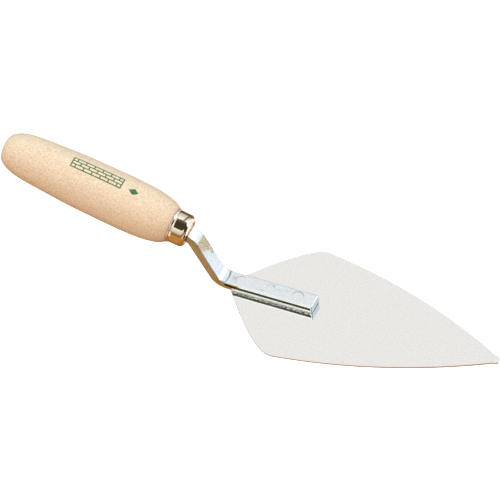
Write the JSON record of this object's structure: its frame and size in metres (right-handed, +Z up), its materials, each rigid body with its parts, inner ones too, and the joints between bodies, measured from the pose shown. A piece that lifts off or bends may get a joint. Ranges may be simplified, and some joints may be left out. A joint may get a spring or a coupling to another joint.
{
  "type": "brick trowel",
  "caption": "Pointing-pattern brick trowel: flat pointed steel blade, cranked steel shank welded on top, brass ferrule and turned wooden handle.",
  "frame": {"origin": "On the blade's underside, on its centre line, below the middle of the whole trowel", "axes": "+X along the blade towards its tip, +Y across the blade, +Z up, away from the blade's underside"},
  "size_m": [0.3238, 0.0876, 0.0815],
  "materials": {
    "blade_steel": "ground and polished carbon steel, fine scratches",
    "shank_steel": "bright zinc plating, bluish, with weld marks",
    "ferrule_brass": "polished pale brass plating",
    "handle_beech": "turned beech, clear satin lacquer",
    "weld_metal": "fused steel, hidden between the bar and the blade"
  },
  "bodies": {
    "root": {"blade": "blade_steel", "shank": "shank_steel", "ferrule": "ferrule_brass", "handle": "handle_beech", "weld_heel": "weld_metal", "weld_middle": "weld_metal", "weld_front": "weld_metal"}
  },
  "joints": []
}
